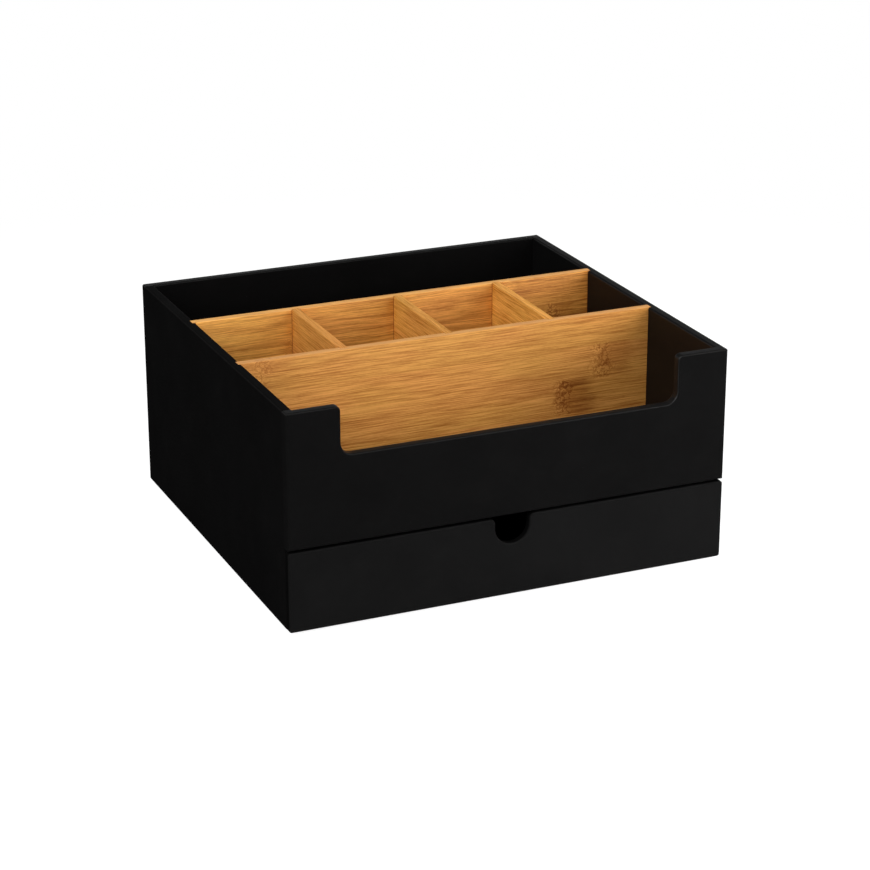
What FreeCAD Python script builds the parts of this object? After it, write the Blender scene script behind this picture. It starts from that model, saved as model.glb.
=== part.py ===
# Desk-top make-up organizer: a black painted box that is open at the top, a bamboo grid that
# divides its upper half into compartments, and a full-width drawer in its lower half.
# The origin is on the table under the middle of the box. +X is to the right, -Y is the front
# with the drawer, and +Z is up. All lengths are in millimetres.
import FreeCAD, Part

import math
import os

from FreeCAD import Vector

# Case: walls of one board thickness, lapped at the corners by the front and back boards
CASE_WIDTH = 270.0
CASE_DEPTH = 252.0
CASE_HEIGHT = 129.0
WALL_BOARD = 6.0
FLOOR_BOARD = 5.0
THIN_BOARD = 3.0
HOUSING = 2.0
REBATE = 3.0
EDGE_ROUND = 1.2

# Wide opening in the rim of the front panel
OPENING_WIDTH = 206.2
OPENING_DEPTH = 28.5
OPENING_LIP_RADIUS = 3.0
OPENING_CORNER_RADIUS = 7.0

# Bamboo grid
BAMBOO = 5.4
FRONT_ROW_DEPTH = 80.0
CELL_DEPTH = 75.0
CELL_COUNT = 4
SLOT_PLAY = 0.15
BAMBOO_CHAMFER = 0.4

# Drawer
DRAWER_FRONT_HEIGHT = 47.6
DRAWER_FRONT_BOARD = 5.2
DRAWER_FRONT_CORNER = 1.6
DRAWER_REVEAL = 1.4
DRAWER_BOARD = 6.0
DRAWER_SIDE_HEIGHT = 42.0
DRAWER_SIDE_PLAY = 1.0
DRAWER_END_PLAY = 0.1
DRAWER_EDGE_ROUND = 1.0
NOTCH_WIDTH = 21.2
NOTCH_DEPTH = 16.4
NOTCH_LIP_RADIUS = 3.0

# Feet, and headless wire pins with a chisel point
FOOT_HEIGHT = 1.5
FOOT_DIAMETER = 12.0
FOOT_INSET = 10.0
FOOT_CHAMFER = 0.3
PIN_WIDTH = 1.2
PIN_THICKNESS = 1.0
PIN_POINT = 1.5
LONG_PIN = 17.0
SHORT_PIN = 12.0
PIN_SETTING = 0.6
PIN_MARGIN = 12.0

# Levels
BASE = FOOT_HEIGHT
RIM = BASE + CASE_HEIGHT
OPENING_LOW = RIM - OPENING_DEPTH
BOTTOM_TOP = BASE + THIN_BOARD
DRAWER_FRONT_TOP = BASE + DRAWER_FRONT_HEIGHT
FLOOR_UNDER = DRAWER_FRONT_TOP + DRAWER_REVEAL
FLOOR_TOP = FLOOR_UNDER + FLOOR_BOARD
DRAWER_SIDE_TOP = BOTTOM_TOP + DRAWER_SIDE_HEIGHT
DRAWER_BOTTOM_UNDER = BOTTOM_TOP + THIN_BOARD
DRAWER_BOTTOM_TOP = DRAWER_BOTTOM_UNDER + THIN_BOARD

# Places across and along the case
OUTER_X = CASE_WIDTH / 2
OUTER_Y = CASE_DEPTH / 2
INNER_X = OUTER_X - WALL_BOARD
INNER_Y = OUTER_Y - WALL_BOARD
FRONT_DIVIDER_Y = -INNER_Y + FRONT_ROW_DEPTH + BAMBOO / 2
REAR_DIVIDER_Y = FRONT_DIVIDER_Y + BAMBOO + CELL_DEPTH
CELL_WIDTH = (2 * INNER_X - (CELL_COUNT - 1) * BAMBOO) / CELL_COUNT
DRAWER_X = INNER_X - DRAWER_SIDE_PLAY
DRAWER_INNER_X = DRAWER_X - DRAWER_BOARD
DRAWER_FRONT_BACK = -OUTER_Y + DRAWER_FRONT_BOARD
DRAWER_HOUSED_Y = DRAWER_FRONT_BACK - HOUSING
DRAWER_REAR = INNER_Y - DRAWER_END_PLAY

TINY = 1e-4


def block(x, y, z):
    """A box that spans the pair of values given for each axis."""
    size = [high - low for low, high in (x, y, z)]
    return Part.makeBox(*size, Vector(x[0], y[0], z[0]))


def mirrored(solid):
    """The same piece on the other side of the middle of the case."""
    return solid.mirror(Vector(0, 0, 0), Vector(1, 0, 0))


def lies_in(edge, x=None, y=None, z=None):
    """True when the whole edge is between the pair of values given for each axis."""
    box = edge.BoundBox
    spans = ((x, box.XMin, box.XMax), (y, box.YMin, box.YMax), (z, box.ZMin, box.ZMax))
    return all(
        pair is None or (low > min(pair) - TINY and high < max(pair) + TINY)
        for pair, low, high in spans
    )


def rounded(solid, radius, places):
    """The solid with a round on every edge that lies in one of the places."""
    edges = [edge for edge in solid.Edges if any(lies_in(edge, **place) for place in places)]
    return solid.makeFillet(radius, edges)


def outline_face(corners, y):
    """A flat face at y. Each corner is (x, z, radius), and its arc is tangent to both sides."""
    points = [Vector(x, y, z) for x, z, radius in corners]
    following = points[1:] + points[:1]
    edges = []
    trimmed = []
    for index, (x, z, radius) in enumerate(corners):
        here = points[index]
        back = (points[index - 1] - here).normalize()
        ahead = (following[index] - here).normalize()
        half_angle = back.getAngle(ahead) / 2
        reach = radius / math.tan(half_angle)
        trimmed.append((here + back * reach, here + ahead * reach))
        if radius > 0:
            bisector = (back + ahead).normalize()
            middle = here + bisector * (radius / math.sin(half_angle) - radius)
            edges.append(Part.Arc(trimmed[index][0], middle, trimmed[index][1]).toShape())
    for index in range(len(corners)):
        start = trimmed[index - 1][1]
        end = trimmed[index][0]
        if start.distanceToPoint(end) > TINY:
            edges.append(Part.LineSegment(start, end).toShape())
    return Part.Face(Part.Wire(Part.__sortEdges__(edges)))


def rim_opening():
    """The waste of the front panel's opening: a wide U whose top corners flare into the rim."""
    half = OPENING_WIDTH / 2
    flare = half + 2 * OPENING_LIP_RADIUS
    above = RIM + 2 * OPENING_LIP_RADIUS
    right = [
        (half, OPENING_LOW, OPENING_CORNER_RADIUS),
        (half, RIM, OPENING_LIP_RADIUS),
        (flare, RIM, 0),
        (flare, above, 0),
    ]
    left = [(-x, z, radius) for x, z, radius in reversed(right)]
    face = outline_face(right + left, -OUTER_Y)
    return face.extrude(Vector(0, WALL_BOARD, 0))


def painted_case():
    """The four walls as they are glued, sanded and painted. Each wall board is cut out of them,
    so that the rounds run on from board to board round the corners."""
    whole_x = (-OUTER_X, OUTER_X)
    whole_y = (-OUTER_Y, OUTER_Y)
    front_board = (-OUTER_Y, -INNER_Y)
    inside = block((-INNER_X, INNER_X), (-INNER_Y, INNER_Y), (BASE, RIM))
    drawer_gap = block(whole_x, front_board, (BASE, FLOOR_UNDER))
    walls = block(whole_x, whole_y, (BASE, RIM)).cut(inside).cut(drawer_gap).cut(rim_opening())
    half = OPENING_WIDTH / 2
    opening = {"x": (-half, half), "z": (OPENING_LOW, RIM)}
    places = [
        {"z": (RIM, RIM)},
        {"y": (-OUTER_Y, -OUTER_Y), **opening},
        {"y": (-INNER_Y, -INNER_Y), **opening},
        {"y": (-OUTER_Y, -OUTER_Y), "z": (FLOOR_UNDER, FLOOR_UNDER)},
        {"y": (OUTER_Y, OUTER_Y), "z": (BASE, BASE)},
    ]
    for side in (-1, 1):
        outer = (side * OUTER_X, side * OUTER_X)
        inner = (side * INNER_X, side * INNER_X)
        places += [
            {"x": outer, "y": (-OUTER_Y, -OUTER_Y)},
            {"x": outer, "y": (OUTER_Y, OUTER_Y)},
            {"x": outer, "y": (-INNER_Y, -INNER_Y), "z": (BASE, FLOOR_UNDER)},
            {"x": inner, "y": (-INNER_Y, -INNER_Y), "z": (BASE, FLOOR_UNDER)},
            {"x": outer, "z": (BASE, BASE)},
        ]
    return rounded(walls, EDGE_ROUND, places)


def compartment_floor():
    """The board under the compartments, housed in all four walls."""
    reach = INNER_Y + HOUSING
    return block((-INNER_X - HOUSING, INNER_X + HOUSING), (-reach, reach), (FLOOR_UNDER, FLOOR_TOP))


def bottom_board():
    """The board under the drawer, let into rebates along the lower edges of three walls."""
    wide = INNER_X + REBATE
    return block((-wide, wide), (-INNER_Y, INNER_Y + REBATE), (BASE, BOTTOM_TOP))


def side_panel(case, housed):
    """The left wall with its housings, and a slot for each long divider that is open at the rim."""
    panel = case.common(block((-OUTER_X, -INNER_X), (-INNER_Y, INNER_Y), (BASE, RIM)))
    half = BAMBOO / 2 + SLOT_PLAY
    for middle in (FRONT_DIVIDER_Y, REAR_DIVIDER_Y):
        slot = block((-INNER_X - HOUSING, -INNER_X), (middle - half, middle + half), (FLOOR_TOP, RIM))
        panel = panel.cut(slot)
    return panel.cut(housed)


def end_panel(case, y, housed):
    """The front or the back wall, which runs the full width over the ends of the side walls."""
    return case.common(block((-OUTER_X, OUTER_X), y, (BASE, RIM))).cut(housed)


def bamboo_board(x, y, along):
    """A bamboo board that stands on the compartment floor, with its top edges broken."""
    board = block(x, y, (FLOOR_TOP, RIM))
    edges = [
        edge for edge in board.Edges
        if lies_in(edge, z=(RIM, RIM)) and abs(edge.tangentAt(edge.FirstParameter).dot(along)) > 0.5
    ]
    return board.makeChamfer(BAMBOO_CHAMFER, edges)


def long_divider(middle):
    """A bamboo board from one side slot to the other."""
    reach = INNER_X + HOUSING - SLOT_PLAY
    return bamboo_board((-reach, reach), (middle - BAMBOO / 2, middle + BAMBOO / 2), Vector(1, 0, 0))


def cross_dividers():
    """The boards between the long dividers, whose ends are housed in them."""
    front = FRONT_DIVIDER_Y + BAMBOO / 2 - HOUSING
    rear = REAR_DIVIDER_Y - BAMBOO / 2 + HOUSING
    boards = []
    for number in range(1, CELL_COUNT):
        left = -INNER_X + number * CELL_WIDTH + (number - 1) * BAMBOO
        boards.append(bamboo_board((left, left + BAMBOO), (front, rear), Vector(0, 1, 0)))
    return boards


def drawer_front(housed):
    """The drawer's front board, with a thumb notch in its top edge and all its edges rounded."""
    half = NOTCH_WIDTH / 2
    low = DRAWER_FRONT_TOP - NOTCH_DEPTH
    right = [
        (OUTER_X, BASE, DRAWER_FRONT_CORNER),
        (OUTER_X, DRAWER_FRONT_TOP, DRAWER_FRONT_CORNER),
        (half, DRAWER_FRONT_TOP, NOTCH_LIP_RADIUS),
        (half, low, half),
    ]
    left = [(-x, z, radius) for x, z, radius in reversed(right)]
    board = outline_face(right + left, -OUTER_Y).extrude(Vector(0, DRAWER_FRONT_BOARD, 0))
    faces = (-OUTER_Y, DRAWER_FRONT_BACK)
    board = rounded(board, EDGE_ROUND, [{"y": (face, face)} for face in faces])
    return board.cut(housed)


def drawer_bottom():
    """The drawer's thin bottom board, slid into grooves and passing under the back."""
    reach = DRAWER_INNER_X + REBATE
    return block((-reach, reach), (DRAWER_HOUSED_Y, DRAWER_REAR), (DRAWER_BOTTOM_UNDER, DRAWER_BOTTOM_TOP))


def drawer_back():
    """The board across the rear of the drawer. It stands on the bottom board."""
    reach = DRAWER_INNER_X + HOUSING
    inner = DRAWER_REAR - DRAWER_BOARD
    board = block((-reach, reach), (inner, DRAWER_REAR), (DRAWER_BOTTOM_TOP, DRAWER_SIDE_TOP))
    tops = [{"y": (y, y), "z": (DRAWER_SIDE_TOP, DRAWER_SIDE_TOP)} for y in (inner, DRAWER_REAR)]
    return rounded(board, DRAWER_EDGE_ROUND, tops)


def drawer_side(housed):
    """The drawer's left side, housed in the front and rebated for the back."""
    x = (-DRAWER_X, -DRAWER_INNER_X)
    board = block(x, (DRAWER_HOUSED_Y, DRAWER_REAR), (BOTTOM_TOP, DRAWER_SIDE_TOP))
    tops = [{"x": (edge, edge), "z": (DRAWER_SIDE_TOP, DRAWER_SIDE_TOP)} for edge in x]
    return rounded(board, DRAWER_EDGE_ROUND, tops).cut(housed)


def foot_pad(x, y):
    """A thin round pad stuck under the bottom board, its lower edge broken."""
    pad = Part.makeCylinder(FOOT_DIAMETER / 2, FOOT_HEIGHT, Vector(x, y, 0))
    return pad.makeChamfer(FOOT_CHAMFER, [edge for edge in pad.Edges if lies_in(edge, z=(0, 0))])


def pins(places, direction, length):
    """A group of headless pins, each driven from its place along the direction."""
    half = PIN_WIDTH / 2
    shoulder = length - PIN_POINT
    outline = [(-half, 0), (half, 0), (half, shoulder), (0, length), (-half, shoulder), (-half, 0)]
    side = Part.Face(Part.makePolygon([Vector(x, -PIN_THICKNESS / 2, z) for x, z in outline]))
    turn = FreeCAD.Rotation(Vector(0, 0, 1), direction)
    group = []
    for place in places:
        pin = side.extrude(Vector(0, PIN_THICKNESS, 0))
        pin.Placement = FreeCAD.Placement(Vector(*place), turn)
        group.append(pin)
    return group


def spread(low, high, count):
    """Evenly spaced values from low to high."""
    return [low + (high - low) * step / (count - 1) for step in range(count)]


def case_pins():
    """Pins through the front and back panels into the edges of the side panels."""
    x = OUTER_X - WALL_BOARD / 2
    set_y = OUTER_Y - PIN_SETTING
    front = spread(FLOOR_TOP + PIN_MARGIN, RIM - PIN_MARGIN, 3)
    back = spread(BASE + PIN_MARGIN, RIM - PIN_MARGIN, 4)
    group = pins([(side, -set_y, z) for side in (-x, x) for z in front], Vector(0, 1, 0), LONG_PIN)
    group += pins([(side, set_y, z) for side in (-x, x) for z in back], Vector(0, -1, 0), LONG_PIN)
    return Part.makeCompound(group)


def bottom_pins():
    """Pins up through the bottom board into the three walls that it is let into."""
    inset = REBATE / 2
    reach_y = INNER_Y - 2 * PIN_MARGIN
    reach_x = INNER_X - 2 * PIN_MARGIN
    z = BASE + PIN_SETTING
    sides = [(side, y, z) for side in (-INNER_X - inset, INNER_X + inset) for y in spread(-reach_y, reach_y, 4)]
    rear = [(x, INNER_Y + inset, z) for x in spread(-reach_x, reach_x, 3)]
    return Part.makeCompound(pins(sides + rear, Vector(0, 0, 1), SHORT_PIN))


def drawer_pins():
    """Pins through the drawer's sides and bottom board into its back."""
    y = DRAWER_REAR - DRAWER_BOARD / 2
    x = DRAWER_X - PIN_SETTING
    heights = spread(DRAWER_BOTTOM_TOP + PIN_MARGIN / 2, DRAWER_SIDE_TOP - PIN_MARGIN / 2, 2)
    reach = DRAWER_INNER_X - 2 * PIN_MARGIN
    under = [(place, y, DRAWER_BOTTOM_UNDER + PIN_SETTING) for place in spread(-reach, reach, 3)]
    group = pins([(-x, y, z) for z in heights], Vector(1, 0, 0), LONG_PIN)
    group += pins([(x, y, z) for z in heights], Vector(-1, 0, 0), LONG_PIN)
    group += pins(under, Vector(0, 0, 1), SHORT_PIN)
    return Part.makeCompound(group)


def build():
    """Every piece of the organizer by name."""
    case = painted_case()
    floor = compartment_floor()
    bottom = bottom_board()
    side = side_panel(case, [floor, bottom])
    parts = {
        "left_side_panel": side,
        "right_side_panel": mirrored(side),
        "front_panel": end_panel(case, (-OUTER_Y, -INNER_Y), [floor]),
        "back_panel": end_panel(case, (INNER_Y, OUTER_Y), [floor, bottom]),
        "compartment_floor": floor,
        "bottom_board": bottom,
        "case_pins": case_pins(),
        "bottom_pins": bottom_pins(),
    }
    across = cross_dividers()
    for place, board in zip(("left", "middle", "right"), across):
        parts[f"cross_divider_{place}"] = board
    parts["front_divider"] = long_divider(FRONT_DIVIDER_Y).cut(across)
    parts["rear_divider"] = long_divider(REAR_DIVIDER_Y).cut(across)

    under = drawer_bottom()
    back = drawer_back()
    left = drawer_side([under, back])
    right = mirrored(left)
    parts["drawer_left_side"] = left
    parts["drawer_right_side"] = right
    parts["drawer_back"] = back
    parts["drawer_bottom"] = under
    parts["drawer_front"] = drawer_front([left, right, under])
    parts["drawer_pins"] = drawer_pins()

    foot_x = OUTER_X - FOOT_INSET
    foot_y = INNER_Y - FOOT_INSET
    for end, y in (("front", -foot_y), ("rear", foot_y)):
        for hand, x in (("left", -foot_x), ("right", foot_x)):
            parts[f"{end}_{hand}_foot"] = foot_pad(x, y)
    return parts


os.makedirs("parts", exist_ok=True)
for name, shape in build().items():
    shape.exportStep(f"parts/{name}.step")
    print(name, "solids", len(shape.Solids), "valid", shape.isValid(), "volume", round(shape.Volume, 1))
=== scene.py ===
"""The looks of a desk-top make-up organizer: matt black sprayed paint on the boards of the box and
the drawer, caramel bamboo strip board for the divider grid, foam pads, wire pins, and a pale floor."""
import math

import bpy
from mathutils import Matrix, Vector


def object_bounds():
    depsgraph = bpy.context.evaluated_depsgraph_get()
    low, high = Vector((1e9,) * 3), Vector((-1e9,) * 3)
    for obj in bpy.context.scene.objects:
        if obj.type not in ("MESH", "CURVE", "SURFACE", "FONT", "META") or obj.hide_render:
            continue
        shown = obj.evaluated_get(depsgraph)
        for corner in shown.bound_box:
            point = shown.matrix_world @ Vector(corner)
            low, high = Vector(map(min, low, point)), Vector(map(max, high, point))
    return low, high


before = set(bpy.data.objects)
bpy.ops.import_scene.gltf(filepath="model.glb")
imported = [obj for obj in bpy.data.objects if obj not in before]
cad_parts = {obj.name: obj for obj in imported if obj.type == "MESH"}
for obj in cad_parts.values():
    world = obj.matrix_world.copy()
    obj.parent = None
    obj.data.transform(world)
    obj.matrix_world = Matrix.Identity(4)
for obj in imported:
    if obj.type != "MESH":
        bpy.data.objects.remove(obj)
cad_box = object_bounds()

MM = 0.001
PHOTO_PIXELS = 870

# Camera: place in metres, angles in degrees, and the focal length in pixels of the photograph
CAMERA_PLACE = (-0.58039, -1.34749, 0.61287)
CAMERA_YAW = 23.554
CAMERA_PITCH = 20.841
FOCAL_PIXELS = 2599.0
SENSOR = 36.0

# In millimetres: the inside of the case between its walls, the depth that takes in the edge of the
# front wall's opening too, and the boards of the divider grid
INSIDE_WIDTH = 258.6
INSIDE_DEPTH = 241.0
OPENING_EDGE_DEPTH = 251.4
BAMBOO_BOARD = 5.4
CELL_PITCH = 65.85
CROSS_MIDDLE = 2.9
CROSS_LENGTH = 75.0

# More than the width in millimetres of the stain at a joint, for the faces that no board meets
FAR_FROM_JOINT = 9.0

# Light of the room by itself, and how bright it is high up to the camera and in reflections. The
# heights are sines of angles: where the white above the horizon ends, and where it has faded.
ROOM_LIGHT = 0.22
ROOM_DARK = 0.10
HORIZON_TOP = 0.12
HORIZON_FADE = 0.26

# The floor's half width, and how far from the middle its shadow starts to fade and is gone
FLOOR_REACH = 30.0
SHADOW_FADES = 0.20
SHADOW_GONE = 0.75

# Depths of relief in metres
ORANGE_PEEL = 0.00004
BAMBOO_GRAIN = 0.00006
FOAM_CELLS = 0.0002
WIRE_LINES = 0.00001

# Paint colours, darkest first: side and back walls, set darker as painted shade, front wall and floors,
# the drawer's front, and thin paint on an edge, partly a painted highlight. Dust lies on them.
SHADED_WALL_BLACK = (0.0035, 0.0034, 0.0034, 1)
CASE_BLACK = (0.0042, 0.0041, 0.0041, 1)
DRAWER_BLACK = (0.0060, 0.0059, 0.0059, 1)
THIN_PAINT_AND_HIGHLIGHT = (0.026, 0.024, 0.022, 1)
DUST = (0.30, 0.28, 0.26, 1)

# Bamboo: fibre between the bundles, the bundles, sanded edges, also paler as a painted highlight, and end
# grain
BAMBOO_PALE = (0.70, 0.345, 0.074, 1)
BAMBOO_BROWN = (0.33, 0.112, 0.0125, 1)
BAMBOO_SANDED_AND_LIT = (0.76, 0.42, 0.135, 1)
BAMBOO_END = (0.46, 0.20, 0.040, 1)

# What the bamboo is multiplied by: in the scorch beside a node, in the painted shade on the line between
# two boards, in the stain beside that line, and in the two slow drifts of its hue
BAMBOO_SCORCH = (0.55, 0.42, 0.27, 1)
BAMBOO_JOINT_SHADE = (0.42, 0.28, 0.18, 1)
BAMBOO_STAIN = (0.97, 0.80, 0.52, 1)
YELLOWER = (0.98, 1.0, 0.94, 1)
REDDER = (1.01, 0.97, 0.99, 1)

# Heights in millimetres of the strips that a board is glued up from, and of the one at its rim
STRIP_HEIGHT = 20.3
TOP_STRIP_HEIGHT = 19.0

# What the colour of each board is multiplied by: the front divider darker as painted shade, the rear one
# lighter as painted light, and the cross dividers from the left lighter in turn
FRONT_TONE_SHADED = (0.94, 0.89, 0.99, 1)
REAR_TONE_LIT = (1.26, 1.27, 1.29, 1)
CROSS_TONES = ((0.98, 0.88, 0.92, 1), (1.04, 1.02, 1.02, 1), (1.17, 1.18, 1.12, 1))

# Joints of the culm in the two long dividers: place along the board in millimetres, strip counted
# down from the rim, half width in millimetres, and the strength of its curls, of the brown beside it
# and of the brown beyond it
FRONT_CULMS = (
    (98.0, 1, 8.5, 1.1, 0.62, 0.08), (72.5, 2, 6.5, 1.2, 0.90, 0.04), (-117.0, 0, 5.0, 0.8, 0.15, 0.0),
)
# In the rear divider the entries with no curls mark no joint. Their brown beyond, from 66 and 72 on, is
# painted shade in the cell by the right wall; from -66 and -70 on it darkens the board past the left cell.
REAR_CULMS_AND_SHADE = (
    (103.5, 1, 5.0, 1.2, 1.0, 0.75), (72.0, 0, 5.0, 0.0, 0.2, 0.66), (66.0, 1, 5.0, 0.0, 0.2, 0.70),
    (-66.0, 0, 5.0, 0.0, 0.2, 0.32), (-70.0, 1, 5.0, 0.0, 0.2, 0.26),
)


class Graph:
    """Short ways to add and join the nodes of one tree. Where a node takes a value, a number or a
    colour is set on its socket, and the output of another node is linked to it."""

    def __init__(self, tree):
        self.tree = tree

    def put(self, socket, value):
        if isinstance(value, bpy.types.NodeSocket):
            self.tree.links.new(value, socket)
        else:
            socket.default_value = value

    def node(self, kind, inputs=None, **settings):
        made = self.tree.nodes.new("ShaderNode" + kind)
        for name, value in settings.items():
            setattr(made, name, value)
        for key, value in (inputs or {}).items():
            self.put(made.inputs[key], value)
        return made

    def math(self, operation, *values, clamp=False):
        made = self.node("Math", dict(enumerate(values)), operation=operation, use_clamp=clamp)
        return made.outputs[0]

    def vector(self, operation, *values):
        return self.node("VectorMath", dict(enumerate(values)), operation=operation).outputs[0]

    def ramp(self, value, low, high, start=0.0, end=1.0):
        """A smooth step from start to end while the value goes from low to high."""
        inputs = {0: value, 1: low, 2: high, 3: start, 4: end}
        return self.node("MapRange", inputs, interpolation_type="SMOOTHSTEP").outputs[0]

    def blend(self, mode, factor, first, second):
        inputs = {0: factor, 6: first, 7: second}
        return self.node("Mix", inputs, data_type="RGBA", blend_type=mode).outputs[2]

    def noise(self, place, scale=1.0, detail=2.0, roughness=0.5):
        inputs = {"Vector": place, "Scale": scale, "Detail": detail, "Roughness": roughness}
        return self.node("TexNoise", inputs).outputs[0]

    def stretched(self, place, stretch, offset=(0.0, 0.0, 0.0)):
        """The place times the stretch, plus the offset."""
        return self.vector("MULTIPLY_ADD", place, stretch, offset)

    def split(self, place):
        return self.node("SeparateXYZ", {0: place}).outputs

    def join(self, x, y, z):
        return self.node("CombineXYZ", {0: x, 1: y, 2: z}).outputs[0]

    def use(self, group, **inputs):
        """The outputs of a node group that is given the named inputs."""
        made = self.tree.nodes.new("ShaderNodeGroup")
        made.node_tree = group
        for name, value in inputs.items():
            self.put(made.inputs[name.replace("_", " ")], value)
        return made.outputs


def effect(name, inputs, outputs):
    """A new node group as a graph, with its input sockets and its output sockets. Inputs give each
    name its kind and its value, and outputs give each name its kind."""
    tree = bpy.data.node_groups.new(name, "ShaderNodeTree")
    for label, (kind, value) in inputs.items():
        socket = tree.interface.new_socket(name=label, in_out="INPUT", socket_type="NodeSocket" + kind)
        socket.default_value = value
    for label, kind in outputs.items():
        tree.interface.new_socket(name=label, in_out="OUTPUT", socket_type="NodeSocket" + kind)
    given = tree.nodes.new("NodeGroupInput").outputs
    result = tree.nodes.new("NodeGroupOutput").inputs
    return Graph(tree), given, result


def arris_group():
    """A mask that is 1 in the middle of a rounded edge and 0 on the flat faces. A flat face of a
    board looks along one axis, so the largest part of its normal is 1, and on a round it is less."""
    graph, given, result = effect("arris", {"Normal": ("Vector", (0, 0, 1))}, {"Mask": "Float"})
    parts = graph.split(graph.vector("ABSOLUTE", given["Normal"]))
    largest = graph.math("MAXIMUM", parts[0], graph.math("MAXIMUM", parts[1], parts[2]))
    graph.put(result["Mask"], graph.ramp(largest, 0.985, 0.80))
    return graph.tree


def dust_group():
    """Sparse specks of dust, a little thicker where a surface looks up."""
    inputs = {"Place": ("Vector", (0, 0, 0)), "Normal": ("Vector", (0, 0, 1)), "Amount": ("Float", 0.5)}
    graph, given, result = effect("dust", inputs, {"Mask": "Float"})
    cells = graph.node("TexVoronoi", {"Vector": given["Place"], "Scale": 0.16}, feature="F1")
    wanted = graph.ramp(graph.split(cells.outputs["Color"])[0], 0.72, 0.98)
    size = graph.math("MULTIPLY", wanted, 0.055)
    speck = graph.ramp(cells.outputs["Distance"], size, graph.math("MULTIPLY", size, 0.3))
    film = graph.ramp(graph.noise(given["Place"], 0.05, 4.0, 0.6), 0.45, 0.8, 0.0, 0.02)
    upward = graph.ramp(graph.split(given["Normal"])[2], 0.3, 1.0, 0.35, 1.0)
    total = graph.math("ADD", graph.math("MULTIPLY", speck, 0.35), film)
    total = graph.math("MULTIPLY", total, upward)
    graph.put(result["Mask"], graph.math("MULTIPLY", total, given["Amount"]))
    return graph.tree


def paint_group(arris, dust):
    """Matt sprayed paint: faint clouds in its black, orange peel, dust and thin paint on arrises, kept to
    the arrises that look up as a painted highlight. It has no gloss where dust lies. Its place is in
    millimetres."""
    inputs = {
        "Place": ("Vector", (0, 0, 0)), "Normal": ("Vector", (0, 0, 1)), "Black": ("Color", CASE_BLACK),
        "Clouds": ("Float", 0.3), "Dust": ("Float", 0.5), "Edge": ("Float", 0.7),
    }
    outputs = {"Color": "Color", "Roughness": "Float", "Height": "Float", "Gloss": "Float"}
    graph, given, result = effect("sprayed paint", inputs, outputs)
    place = given["Place"]
    cloud = graph.noise(place, 0.022, 3.0, 0.55)
    mottle = graph.noise(place, 0.35, 3.0, 0.6)
    shade = graph.math("ADD", graph.math("MULTIPLY", cloud, 0.75), graph.math("MULTIPLY", mottle, 0.25))
    swing = graph.math("MULTIPLY", graph.math("SUBTRACT", shade, 0.5), given["Clouds"])
    level = graph.math("MULTIPLY_ADD", swing, 2.0, 1.0)
    black = graph.vector("SCALE", given["Black"])
    graph.put(black.node.inputs["Scale"], level)
    rubbed = graph.ramp(graph.noise(place, 0.12, 4.0, 0.65), 0.30, 0.62, 0.45, 1.0)
    edge = graph.math("MULTIPLY", graph.use(arris, Normal=given["Normal"])["Mask"], rubbed)
    # Painted highlight: the rubbed thin paint shows only on arrises that look up, where light from above
    # falls
    lit_from_above = graph.ramp(graph.split(given["Normal"])[2], 0.0, 0.5)
    edge = graph.math("MULTIPLY", edge, graph.math("MULTIPLY", lit_from_above, given["Edge"]))
    colour = graph.blend("MIX", edge, black, THIN_PAINT_AND_HIGHLIGHT)
    specks = graph.use(dust, Place=place, Normal=given["Normal"], Amount=given["Dust"])["Mask"]
    graph.put(result["Color"], graph.blend("MIX", specks, colour, DUST))
    peel = graph.noise(place, 0.9, 2.0, 0.5)
    grain = graph.noise(place, 6.0, 2.0, 0.6)
    height = graph.math("MULTIPLY_ADD", grain, 0.35, peel)
    graph.put(result["Height"], height)
    rough = graph.math("MULTIPLY_ADD", mottle, 0.16, 0.44)
    rough = graph.math("MULTIPLY_ADD", edge, -0.12, rough)
    graph.put(result["Roughness"], graph.math("MULTIPLY_ADD", specks, 0.8, rough, clamp=True))
    graph.put(result["Gloss"], graph.ramp(specks, 0.0, 0.3, 1.0, 0.0))
    return graph.tree


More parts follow.
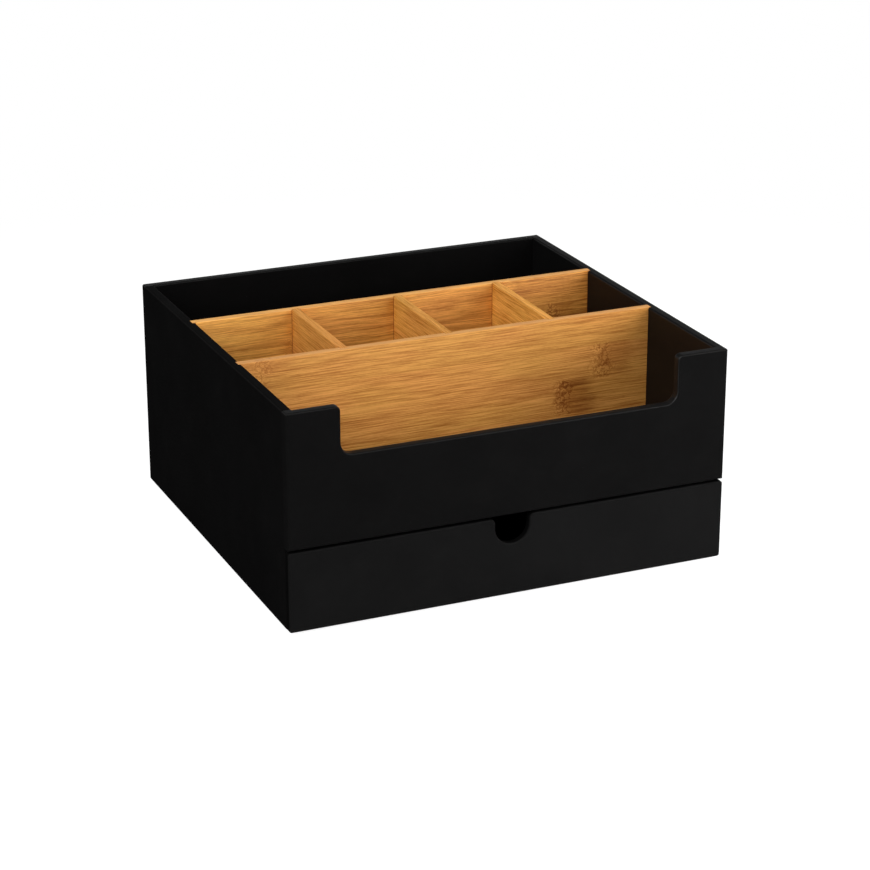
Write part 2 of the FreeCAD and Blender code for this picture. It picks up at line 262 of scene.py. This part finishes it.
def culm_node_group():
    """The joint of a bamboo culm where it crosses one strip of the board. The bend is how far in
    millimetres the fibres are pushed across the board in it, the mottle is its dark curls on a paler
    ground, along the lines where a noise crosses its middle, and the scorch is the browner wood
    beside and beyond it. The place is in millimetres: along, across and through."""
    inputs = {
        "Place": ("Vector", (0, 0, 0)), "Along": ("Float", 0.0), "Strip": ("Float", 0.0),
        "Width": ("Float", 5.0), "Curls": ("Float", 1.0), "Beside": ("Float", 1.0),
        "Beyond": ("Float", 0.3),
    }
    outputs = {"Bend": "Float", "Mottle": "Float", "Scorch": "Float"}
    graph, given, result = effect("culm node", inputs, outputs)
    place = given["Place"]
    along = graph.split(place)[0]
    wander = graph.noise(graph.stretched(place, (0.06, 0.20, 0.20)), 1.0, 2.0)
    centre = graph.math("MULTIPLY_ADD", graph.math("SUBTRACT", wander, 0.5), 14.0, given["Along"])
    distance = graph.math("SUBTRACT", along, centre)
    middle = graph.math("MULTIPLY", graph.math("ADD", given["Strip"], 0.5), STRIP_HEIGHT)
    off_strip = graph.math("ABSOLUTE", graph.math("SUBTRACT", graph.split(place)[1], middle))
    in_strip = graph.ramp(off_strip, 12.0, 9.6)
    reach = graph.math("DIVIDE", graph.math("ABSOLUTE", distance), given["Width"])
    mask = graph.math("MULTIPLY", graph.ramp(reach, 1.3, 0.3), in_strip)
    swirl = graph.noise(graph.stretched(place, (0.50, 0.42, 0.42)), 1.0, 1.0)
    bend = graph.math("MULTIPLY", graph.math("SUBTRACT", swirl, 0.5), graph.math("MULTIPLY", mask, 4.0))
    graph.put(result["Bend"], bend)
    folds = graph.noise(graph.stretched(place, (0.36, 0.31, 0.31), (0.0, 7.0, 0.0)), 1.0, 1.0)
    curls = graph.ramp(graph.math("ABSOLUTE", graph.math("SUBTRACT", folds, 0.5)), 0.0, 0.12, -0.38, 0.12)
    strength = graph.math("MULTIPLY", mask, given["Curls"])
    graph.put(result["Mottle"], graph.math("MULTIPLY", curls, strength))

    # Brown patches beside the joint, and all of the strip beyond it
    patchy = graph.noise(graph.stretched(place, (0.05, 0.26, 0.26), (0.0, 3.0, 0.0)), 1.0, 2.0)
    fading = graph.ramp(distance, 13.0, 26.0, 1.0, 0.0)
    near = graph.math("MULTIPLY", graph.ramp(distance, -8.0, 4.0), fading)
    near = graph.math("MULTIPLY", near, graph.ramp(patchy, 0.32, 0.60, 0.82, 1.0))
    near = graph.math("MULTIPLY", near, given["Beside"])
    beyond = graph.math("MULTIPLY", graph.ramp(distance, 0.0, 8.0), given["Beyond"])
    graph.put(result["Scorch"], graph.math("MULTIPLY", graph.math("MAXIMUM", near, beyond), in_strip))
    return graph.tree


def fibre_group():
    """The long fibres of bamboo as a tone from 0, dark, to 1, pale, and as a height. Broad bands carry
    two sizes of dark vessel bundle, which taper out along the grain, fine threads and short flecks."""
    inputs = {"Place": ("Vector", (0, 0, 0)), "Bend": ("Float", 0.0)}
    graph, given, result = effect("bamboo fibre", inputs, {"Tone": "Float", "Height": "Float"})
    place = given["Place"]
    sway = graph.noise(graph.stretched(place, (0.013, 0.030, 0.030)), 1.0, 1.0)
    push = graph.math("MULTIPLY_ADD", graph.math("SUBTRACT", sway, 0.5), 2.4, given["Bend"])
    bent = graph.vector("ADD", place, graph.join(0.0, push, 0.0))
    band = graph.noise(graph.stretched(bent, (0.009, 0.12, 0.12)), 1.0, 2.0, 0.5)
    coarse = graph.noise(graph.stretched(bent, (0.014, 0.45, 0.45), (0.0, 5.0, 0.0)), 1.0, 1.0)
    fine = graph.noise(graph.stretched(bent, (0.025, 1.00, 1.00), (0.0, 9.0, 0.0)), 1.0, 1.0)
    thread = graph.noise(graph.stretched(bent, (0.05, 2.0, 2.0)), 1.0, 2.0, 0.6)
    fleck = graph.noise(graph.stretched(bent, (0.45, 1.4, 1.4), (0.0, 13.0, 0.0)), 1.0, 1.0)
    tone = graph.math("MULTIPLY_ADD", graph.math("SUBTRACT", band, 0.5), 0.42, 0.76)
    tone = graph.math("MULTIPLY_ADD", graph.math("SUBTRACT", fleck, 0.5), 0.35, tone)
    tone = graph.math("MULTIPLY_ADD", graph.ramp(coarse, 0.46, 0.68), -0.20, tone)
    tone = graph.math("MULTIPLY_ADD", graph.ramp(fine, 0.42, 0.66), -0.24, tone)
    tone = graph.math("MULTIPLY_ADD", graph.math("SUBTRACT", thread, 0.5), 2.3, tone)
    graph.put(result["Tone"], tone)
    graph.put(result["Height"], graph.math("MULTIPLY_ADD", thread, 0.6, fine))
    return graph.tree


def bamboo_group(fibre):
    """Bamboo strip board: strips of one height laid edge to edge, each with its own tone and fibres,
    paler along the sanded rim of the board, partly as a painted highlight, and dotted with bundles on its
    end grain. It has painted shade, a dark line, where the distance in millimetres to the joint with
    another board is nought."""
    inputs = {
        "Place": ("Vector", (0, 0, 0)), "Normal": ("Vector", (0, 0, 1)), "Strip": ("Float", 0.0),
        "Seed": ("Float", 0.0), "Bend": ("Float", 0.0), "Mottle": ("Float", 0.0), "Scorch": ("Float", 0.0),
        "Tone": ("Color", (1, 1, 1, 1)), "Sanded": ("Float", 0.4), "Joint": ("Float", FAR_FROM_JOINT),
    }
    outputs = {"Color": "Color", "Roughness": "Float", "Height": "Float"}
    graph, given, result = effect("bamboo board", inputs, outputs)
    key = graph.math("MULTIPLY_ADD", given["Strip"], 3.7, given["Seed"])
    chance = graph.node("TexWhiteNoise", {"W": key}, noise_dimensions="1D").outputs
    shift = graph.vector("MULTIPLY", chance["Color"], (900.0, 60.0, 60.0))
    place = graph.vector("ADD", given["Place"], shift)
    grown = graph.use(fibre, Place=place, Bend=given["Bend"])

    # Strips differ a little in tone, and wander slowly along their length between yellow and red
    tone = graph.math("MULTIPLY_ADD", graph.math("SUBTRACT", chance["Value"], 0.5), 0.12, grown["Tone"])
    tone = graph.math("ADD", tone, given["Mottle"], clamp=True)
    colour = graph.blend("MIX", tone, BAMBOO_BROWN, BAMBOO_PALE)
    blush = graph.ramp(graph.noise(graph.stretched(place, (0.014, 0.04, 0.04)), 1.0, 2.0), 0.35, 0.65)
    colour = graph.blend("MULTIPLY", 1.0, colour, graph.blend("MIX", blush, YELLOWER, REDDER))
    deep = graph.math("MULTIPLY", given["Scorch"], graph.math("MULTIPLY_ADD", tone, -0.7, 1.35))
    colour = graph.blend("MULTIPLY", graph.math("MINIMUM", deep, 1.0), colour, BAMBOO_SCORCH)

    # Glue line between two strips
    across = graph.split(given["Place"])[1]
    fraction = graph.math("FRACT", graph.math("DIVIDE", across, STRIP_HEIGHT))
    middle = graph.math("ABSOLUTE", graph.math("SUBTRACT", fraction, 0.5))
    line = graph.ramp(middle, 0.490, 0.498, 0.0, 0.20)
    colour = graph.blend("MIX", line, colour, BAMBOO_BROWN)

    # The sanded rim is paler, partly as a painted highlight on the rim that looks up, and end grain is
    # darker with a dot for each bundle
    parts = graph.split(graph.vector("ABSOLUTE", given["Normal"]))
    rim = graph.math("MULTIPLY", graph.ramp(parts[1], 0.55, 0.95), given["Sanded"])
    colour = graph.blend("MIX", rim, colour, BAMBOO_SANDED_AND_LIT)
    dots = graph.node("TexVoronoi", {"Vector": graph.stretched(given["Place"], (0.0, 1.5, 1.5))}).outputs
    end_grain = graph.blend("MIX", graph.ramp(dots["Distance"], 0.30, 0.12), BAMBOO_END, BAMBOO_BROWN)
    colour = graph.blend("MIX", graph.ramp(parts[0], 0.5, 0.9, 0.0, 0.85), colour, end_grain)

    # Painted shade: a dark line at the joint with another board, with glue that has soaked in beside it
    blots = graph.noise(graph.stretched(place, (0.20, 0.12, 0.12)), 1.0, 2.0)
    soaked = graph.ramp(blots, 0.42, 0.62, 0.2, 1.0)
    stain = graph.math("MULTIPLY", graph.ramp(given["Joint"], 0.5, 6.0, 0.7, 0.0), soaked)
    colour = graph.blend("MULTIPLY", stain, colour, BAMBOO_STAIN)
    colour = graph.blend("MULTIPLY", graph.ramp(given["Joint"], 0.0, 0.55, 0.9, 0.0), colour, BAMBOO_JOINT_SHADE)
    graph.put(result["Color"], graph.vector("MULTIPLY", colour, given["Tone"]))
    graph.put(result["Roughness"], graph.math("MULTIPLY_ADD", tone, -0.20, 0.60, clamp=True))
    graph.put(result["Height"], grown["Height"])
    return graph.tree


def material(name):
    """A new material as a graph, with its Principled shader."""
    made = bpy.data.materials.new(name)
    made.use_nodes = True
    return made, Graph(made.node_tree), made.node_tree.nodes["Principled BSDF"]


def bumped(graph, shader, height, depth, strength):
    """Gives the shader a normal from the height, whose range of 1 stands for the depth in metres."""
    bump = graph.node("Bump", {"Height": height, "Distance": depth, "Strength": strength})
    graph.put(shader.inputs["Normal"], bump.outputs[0])


ARRIS = arris_group()
DUST_SPECKS = dust_group()
PAINT = paint_group(ARRIS, DUST_SPECKS)
CULM_NODE = culm_node_group()
FIBRE = fibre_group()
BAMBOO = bamboo_group(FIBRE)


def painted(name, black, clouds, dust, edge, top_gloss=0.0, inner_gloss=0.0, depth=INSIDE_DEPTH, cut=1.0):
    """Matt black paint, sprayed over smooth board, with the strength of the clouds in its black, of its
    dust and of the thin paint on its edges, which is partly a painted highlight. It shines a little on the
    faces that look up, and on those inside the box, over the depth that is given in millimetres. The cut
    is how light the faces of the board that don't look along Y are: painted shade, as on the cut faces
    of the drawer's front in the gap and the notch."""
    made, graph, shader = material(name)
    here = graph.node("TexCoord").outputs
    place = graph.vector("SCALE", here["Object"])
    graph.put(place.node.inputs["Scale"], 1 / MM)
    paint = graph.use(
        PAINT, Place=place, Normal=here["Normal"], Black=black, Clouds=clouds, Dust=dust, Edge=edge,
    )
    # Painted shade: faces that don't look along Y are darkened by the cut
    facing = graph.math("ABSOLUTE", graph.split(here["Normal"])[1])
    colour = graph.vector("SCALE", paint["Color"])
    graph.put(colour.node.inputs["Scale"], graph.ramp(facing, 0.05, 0.45, cut, 1.0))
    graph.put(shader.inputs["Base Color"], colour)
    graph.put(shader.inputs["Roughness"], paint["Roughness"])
    away = graph.split(graph.vector("ABSOLUTE", place))
    across = graph.math("LESS_THAN", away[0], INSIDE_WIDTH / 2)
    along = graph.math("LESS_THAN", away[1], depth / 2)
    inside = graph.math("MULTIPLY", graph.math("MULTIPLY", across, along), inner_gloss)
    upward = graph.ramp(graph.split(here["Normal"])[2], 0.25, 0.95, 0.0, top_gloss)
    gloss = graph.math("MAXIMUM", inside, upward)
    graph.put(shader.inputs["Coat Weight"], graph.math("MULTIPLY", gloss, paint["Gloss"]))
    shader.inputs["Coat Roughness"].default_value = 0.32
    shader.inputs["Specular IOR Level"].default_value = 0.0
    bumped(graph, shader, paint["Height"], ORANGE_PEEL, 0.5)
    return made


def bamboo(name, along_x, seed, tone, sheen, sanded=0.0, inner=0.0, culms=()):
    """Bamboo strip board whose grain runs along X, or else along Y. The seed picks its strips, the tone
    multiplies its colour, the sheen is the strength of its reflections and sanded is how pale its rim
    is, from sanding and as a painted highlight. The inner face of a long divider, which the cross dividers
    meet, looks along inner times Y. The culms are as in FRONT_CULMS."""
    made, graph, shader = material(name)
    here = graph.node("TexCoord").outputs
    x, y, z = graph.split(graph.vector("MULTIPLY", here["Object"], (1 / MM, 1 / MM, 1 / MM)))
    nx, ny, nz = graph.split(here["Normal"])
    below_rim = graph.math("SUBTRACT", cad_box[1].z / MM + STRIP_HEIGHT - TOP_STRIP_HEIGHT, z)
    strip = graph.math("FLOOR", graph.math("DIVIDE", below_rim, STRIP_HEIGHT))
    place = graph.join(x, below_rim, y) if along_x else graph.join(y, below_rim, x)
    normal = graph.join(nx, nz, ny) if along_x else graph.join(ny, nz, nx)
    bend = mottle = scorch = 0.0
    for along, own_strip, width, curls, beside, beyond in culms:
        culm = graph.use(
            CULM_NODE, Place=place, Along=along, Strip=own_strip, Width=width,
            Curls=curls, Beside=beside, Beyond=beyond,
        )
        bend = graph.math("ADD", bend, culm["Bend"])
        mottle = graph.math("ADD", mottle, culm["Mottle"])
        scorch = graph.math("MAXIMUM", scorch, culm["Scorch"])

    # Distance to the joint with another board
    if along_x:
        from_cross = graph.math("SUBTRACT", graph.math("PINGPONG", x, CELL_PITCH / 2), BAMBOO_BOARD / 2)
        outer = graph.math("LESS_THAN", graph.math("MULTIPLY", ny, inner), 0.5)
        gap = graph.math("MULTIPLY_ADD", outer, FAR_FROM_JOINT, graph.math("MAXIMUM", from_cross, 0.0))
    else:
        from_middle = graph.math("ABSOLUTE", graph.math("SUBTRACT", y, CROSS_MIDDLE))
        level = graph.math("LESS_THAN", graph.math("ABSOLUTE", nx), 0.5)
        from_end = graph.math("SUBTRACT", CROSS_LENGTH / 2, from_middle)
        gap = graph.math("MULTIPLY_ADD", level, FAR_FROM_JOINT, from_end)
    board = graph.use(
        BAMBOO, Place=place, Normal=normal, Strip=strip, Seed=seed, Bend=bend, Mottle=mottle, Scorch=scorch,
        Tone=tone, Sanded=sanded, Joint=gap,
    )
    graph.put(shader.inputs["Base Color"], board["Color"])
    graph.put(shader.inputs["Roughness"], board["Roughness"])
    shader.inputs["Specular IOR Level"].default_value = sheen
    bumped(graph, shader, board["Height"], BAMBOO_GRAIN, 0.6)
    return made


def foam():
    """Black closed-cell foam: small round cells that the die cut open."""
    made, graph, shader = material("foot_foam")
    here = graph.node("TexCoord").outputs
    cells = graph.node("TexVoronoi", {"Vector": here["Object"], "Scale": 2200.0}).outputs
    wall = graph.ramp(cells["Distance"], 0.15, 0.55)
    colour = graph.blend("MIX", wall, (0.012, 0.012, 0.013, 1), (0.035, 0.035, 0.036, 1))
    graph.put(shader.inputs["Base Color"], colour)
    graph.put(shader.inputs["Roughness"], graph.math("MULTIPLY_ADD", wall, 0.1, 0.85))
    bumped(graph, shader, wall, FOAM_CELLS, 0.8)
    return made


def drawn_wire():
    """Plain drawn steel wire, with fine lines and a little tarnish."""
    made, graph, shader = material("pin_steel")
    here = graph.node("TexCoord").outputs
    lines = graph.noise(here["Object"], 9000.0, 2.0, 0.6)
    tarnish = graph.ramp(graph.noise(here["Object"], 400.0, 3.0), 0.4, 0.7)
    colour = graph.blend("MIX", tarnish, (0.56, 0.56, 0.57, 1), (0.33, 0.31, 0.29, 1))
    graph.put(shader.inputs["Base Color"], colour)
    shader.inputs["Metallic"].default_value = 1.0
    graph.put(shader.inputs["Roughness"], graph.math("MULTIPLY_ADD", lines, 0.2, 0.22))
    bumped(graph, shader, lines, WIRE_LINES, 0.4)
    return made


def dress(finish, *nodes):
    """Gives the finish to the named pieces of the frame."""
    for name in nodes:
        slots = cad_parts[name].data.materials
        slots.clear()
        slots.append(finish)


def dress_pieces():
    """Each piece of the object in its finish."""
    outer = {"clouds": 0.30, "dust": 0.35, "edge": 0.12}
    # The back wall and bottom board take the darker black, as painted shade
    back = painted("back_paint", SHADED_WALL_BLACK, **outer, top_gloss=0.55)
    dress(back, "back_panel", "bottom_board")
    front = painted(
        "front_paint", CASE_BLACK, **outer, top_gloss=0.45, inner_gloss=0.35, depth=OPENING_EDGE_DEPTH,
    )
    dress(front, "front_panel")
    # The side walls take the darker black too, as painted shade
    for hand, top_gloss in (("left", 0.06), ("right", 0.35)):
        side = painted(f"{hand}_side_paint", SHADED_WALL_BLACK, **outer, top_gloss=top_gloss, inner_gloss=0.35)
        dress(side, f"{hand}_side_panel")
    floor_paint = painted("floor_paint", CASE_BLACK, clouds=0.40, dust=0.9, edge=0.2, top_gloss=0.30)
    dress(floor_paint, "compartment_floor")
    # The drawer front's faces in the gap and the notch get painted shade through the cut
    drawer_face = painted("drawer_front_paint", DRAWER_BLACK, clouds=0.30, dust=0.4, edge=0.05, cut=0.4)
    dress(drawer_face, "drawer_front")
    drawer_box = painted("drawer_box_paint", CASE_BLACK, clouds=0.35, dust=0.8, edge=0.2, top_gloss=0.30)
    dress(drawer_box, "drawer_left_side", "drawer_right_side", "drawer_back", "drawer_bottom")

    # The front board's tone darkens it as painted shade, the rear board's lightens it as painted light
    front_board = bamboo(
        "front_bamboo", True, seed=11.0, tone=FRONT_TONE_SHADED, sheen=0.24, sanded=0.40, inner=1.0,
        culms=FRONT_CULMS,
    )
    dress(front_board, "front_divider")
    rear_board = bamboo(
        "rear_bamboo", True, seed=23.0, tone=REAR_TONE_LIT, sheen=0.50, sanded=0.35, inner=-1.0,
        culms=REAR_CULMS_AND_SHADE,
    )
    dress(rear_board, "rear_divider")
    for hand, seed, tone in zip(("left", "middle", "right"), (37.0, 42.0, 47.0), CROSS_TONES):
        board = bamboo(f"{hand}_cross_bamboo", False, seed=seed, tone=tone, sheen=0.08)
        dress(board, f"cross_divider_{hand}")
    dress(foam(), *(f"{end}_{hand}_foot" for end in ("front", "rear") for hand in ("left", "right")))
    dress(drawn_wire(), "case_pins", "bottom_pins", "drawer_pins")


def seen(graph):
    """1 for the rays of the camera and of reflections, 0 for those that carry the light of lamps."""
    path = graph.node("LightPath").outputs
    direct = graph.math("MAXIMUM", path["Is Camera Ray"], path["Is Glossy Ray"])
    return graph.math("MAXIMUM", direct, path["Is Transmission Ray"])


def floor():
    """A wide pale floor. To the camera and in reflections it is white, less part of the shadow."""
    mesh = bpy.data.meshes.new("floor")
    corners = [(FLOOR_REACH * x, FLOOR_REACH * y, 0) for x, y in ((-1, -1), (1, -1), (1, 1), (-1, 1))]
    mesh.from_pydata(corners, [], [(0, 1, 2, 3)])
    plane = bpy.data.objects.new("floor", mesh)
    bpy.context.scene.collection.objects.link(plane)
    made, graph, shader = material("floor_pale")
    graph.tree.nodes.remove(shader)
    lit = graph.node("BsdfDiffuse", {"Color": (0.86, 0.86, 0.86, 1)}).outputs[0]
    white = graph.node("Emission", {"Color": (1, 1, 1, 1), "Strength": 1.0}).outputs[0]
    faint = graph.node("BsdfDiffuse", {"Color": (0.34, 0.34, 0.34, 1)}).outputs[0]
    glow = graph.node("Emission", {"Color": (1, 1, 1, 1), "Strength": 0.84}).outputs[0]
    near = graph.node("AddShader", {0: faint, 1: glow}).outputs[0]
    here = graph.node("TexCoord").outputs["Object"]
    away = graph.node("VectorMath", {0: here}, operation="LENGTH").outputs["Value"]
    far = graph.ramp(away, SHADOW_FADES, SHADOW_GONE)
    shown = graph.node("MixShader", {0: far, 1: near, 2: white}).outputs[0]
    both = graph.node("MixShader", {0: seen(graph), 1: lit, 2: shown}).outputs[0]
    graph.put(graph.tree.nodes["Material Output"].inputs["Surface"], both)
    mesh.materials.append(made)


def surroundings():
    """An even dim world that to the camera and in reflections is white above the horizon, like the
    far end of the floor, and dark higher up."""
    world = bpy.data.worlds.new("studio")
    bpy.context.scene.world = world
    world.use_nodes = True
    graph = Graph(world.node_tree)
    dim = world.node_tree.nodes["Background"]
    dim.inputs["Color"].default_value = (0.9, 0.95, 1.0, 1)
    dim.inputs["Strength"].default_value = ROOM_LIGHT
    white = graph.node("Background", {"Color": (1, 1, 1, 1), "Strength": 1.0}).outputs[0]
    dark = graph.node("Background", {"Color": (1, 1, 1, 1), "Strength": ROOM_DARK}).outputs[0]
    height = graph.split(graph.node("TexCoord").outputs["Generated"])[2]
    low = graph.ramp(height, HORIZON_TOP, HORIZON_FADE, 1.0, 0.0)
    shown = graph.node("MixShader", {0: low, 1: dark, 2: white}).outputs[0]
    both = graph.node("MixShader", {0: seen(graph), 1: dim.outputs[0], 2: shown}).outputs[0]
    graph.put(world.node_tree.nodes["World Output"].inputs["Surface"], both)


def softbox(name, place, target, width, height, watts, glints=True):
    """A rectangular lamp at the place that looks at the target. Without glints it lights matt surfaces
    and shows in no reflection."""
    lamp = bpy.data.lights.new(name, "AREA")
    lamp.shape = "RECTANGLE"
    lamp.size = width
    lamp.size_y = height
    lamp.energy = watts
    shown = bpy.data.objects.new(name, lamp)
    shown.location = place
    shown.rotation_mode = "QUATERNION"
    shown.rotation_quaternion = (Vector(target) - Vector(place)).to_track_quat("-Z", "Y")
    shown.visible_glossy = glints
    bpy.context.scene.collection.objects.link(shown)


def lights():
    """Soft lamps: a large one from the left, a high one in front, small ones low on the right and over
    the table, and one behind on the right for the sides that the photograph doesn't show."""
    middle = (cad_box[0] + cad_box[1]) / 2
    softbox("left_wall", (-1.8, -0.8, 1.6), middle, 2.0, 2.0, 54.0)
    softbox("front_high", (0.0, -1.3, 1.3), middle, 0.9, 0.9, 7.0)
    softbox("right_low", (0.45, -0.45, 0.20), middle, 0.25, 0.20, 2.0)
    softbox("table_wash", (0.50, -0.90, 0.45), (0.50, -0.80, 0.0), 0.5, 0.5, 7.0)
    softbox("rear_fill", (1.4, 1.45, 0.50), middle, 1.2, 0.8, 30.0, glints=False)


def camera():
    """The photograph's viewpoint: yaw turns to the right of +Y, and pitch looks down."""
    lens = bpy.data.cameras.new("camera")
    lens.sensor_width = SENSOR
    lens.lens = FOCAL_PIXELS * SENSOR / PHOTO_PIXELS
    lens.clip_start = 0.01
    lens.clip_end = 200.0
    shown = bpy.data.objects.new("camera", lens)
    shown.location = CAMERA_PLACE
    shown.rotation_euler = (math.radians(90 - CAMERA_PITCH), 0, -math.radians(CAMERA_YAW))
    bpy.context.scene.collection.objects.link(shown)
    bpy.context.scene.camera = shown


dress_pieces()
floor()
surroundings()
lights()
camera()
bpy.context.scene.view_settings.view_transform = "Standard"
